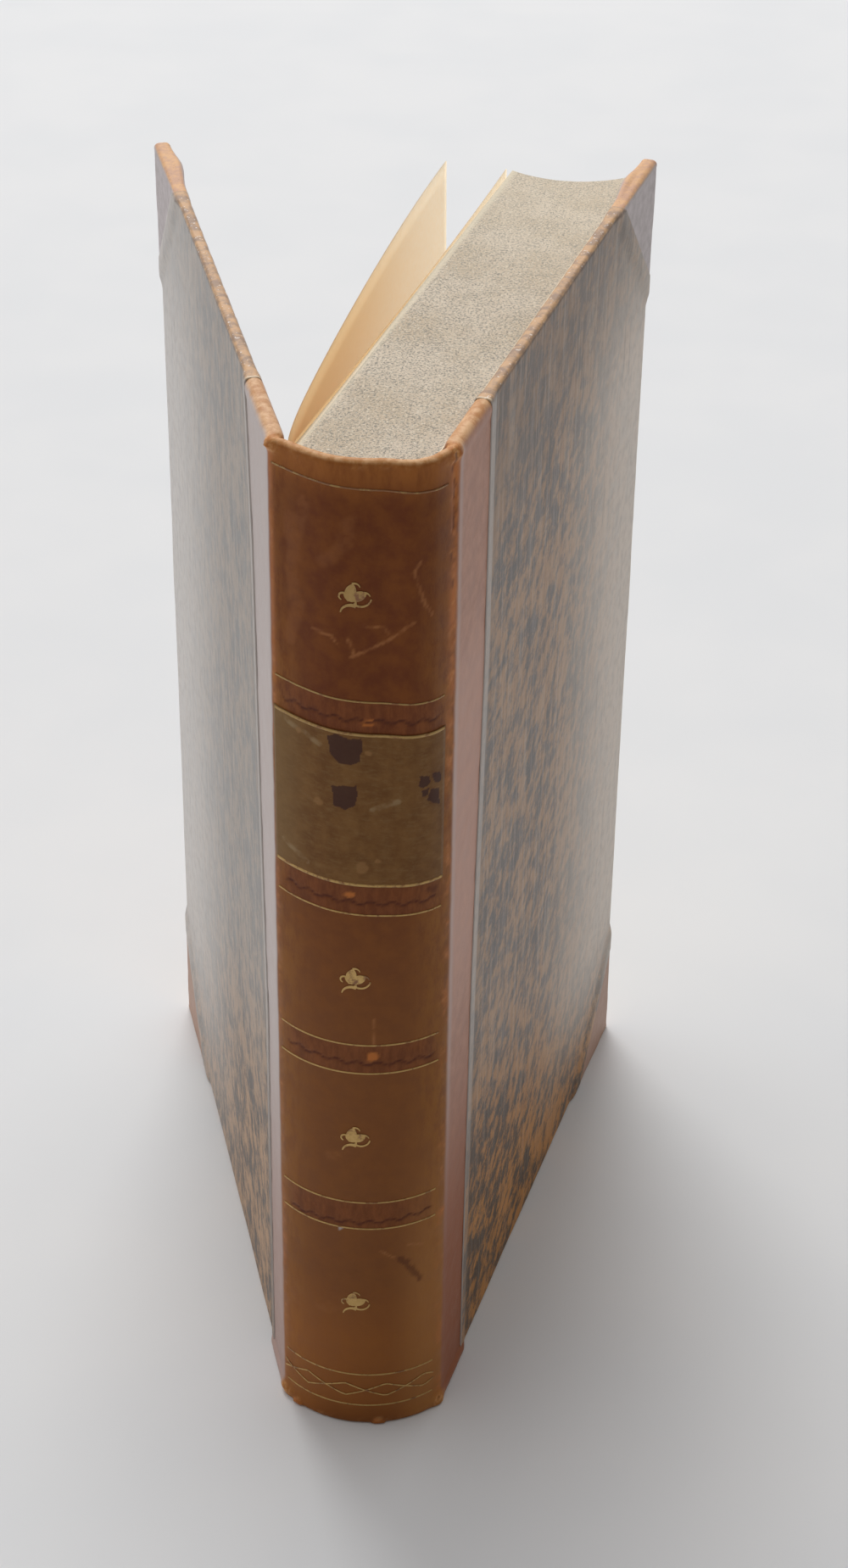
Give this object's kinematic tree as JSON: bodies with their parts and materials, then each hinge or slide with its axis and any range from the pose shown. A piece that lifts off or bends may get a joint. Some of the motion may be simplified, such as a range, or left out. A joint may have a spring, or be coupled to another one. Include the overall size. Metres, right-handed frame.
{
  "type": "antique half-leather book",
  "caption": "Half-leather bound book with a smooth rounded gilt spine, leather corners and mottled side paper, standing with its rear cover ajar.",
  "frame": {"origin": "middle of the tail cap of the spine, on the surface that the book stands on", "axes": "+Z from tail to head, +Y from the spine into the leaves, +X towards the front cover"},
  "size_m": [0.1083, 0.1458, 0.235],
  "materials": {
    "spine_leather": "satin",
    "cover_leather": "satin",
    "corner_leather": "satin",
    "label_leather": "satin",
    "gilt": "satin",
    "side_paper": "satin",
    "page_edges": "matte",
    "endpaper": "matte",
    "millboard": "matte",
    "inner_card": "matte",
    "cord": "matte"
  },
  "bodies": {
    "text_block": {"page_block": "page_edges", "front_flyleaf": "endpaper", "rear_flyleaf": "endpaper", "rear_endleaf": "endpaper", "sewing_cord_1": "cord", "sewing_cord_2": "cord", "sewing_cord_3": "cord", "sewing_cord_4": "cord", "spine_lining": "inner_card", "spine_inlay": "inner_card", "spine_leather": "spine_leather", "title_label": "label_leather", "gilt_rules": "gilt", "gilt_flowers": "gilt", "gilt_zigzag": "gilt"},
    "front_cover": {"front_board": "millboard", "front_joint_leather": "cover_leather", "front_corner_head": "corner_leather", "front_corner_tail": "corner_leather", "front_side_paper": "side_paper", "front_pastedown": "endpaper"},
    "rear_cover": {"rear_board": "millboard", "rear_joint_leather": "cover_leather", "rear_corner_head": "corner_leather", "rear_corner_tail": "corner_leather", "rear_side_paper": "side_paper", "rear_pastedown": "endpaper"}
  },
  "joints": [
    {"name": "front_cover_hinge", "type": "hinge", "parent": "text_block", "child": "front_cover", "pos_m": [0.0172, 0.00685, 0], "axis": [0, 0, -1], "range_deg": [0, 160]},
    {"name": "rear_cover_hinge", "type": "hinge", "parent": "text_block", "child": "rear_cover", "pos_m": [-0.0172, 0.00685, 0], "axis": [0, 0, 1], "range_deg": [-30.5, 129.5], "deforming": ["rear_flyleaf", "rear_endleaf"]}
  ]
}
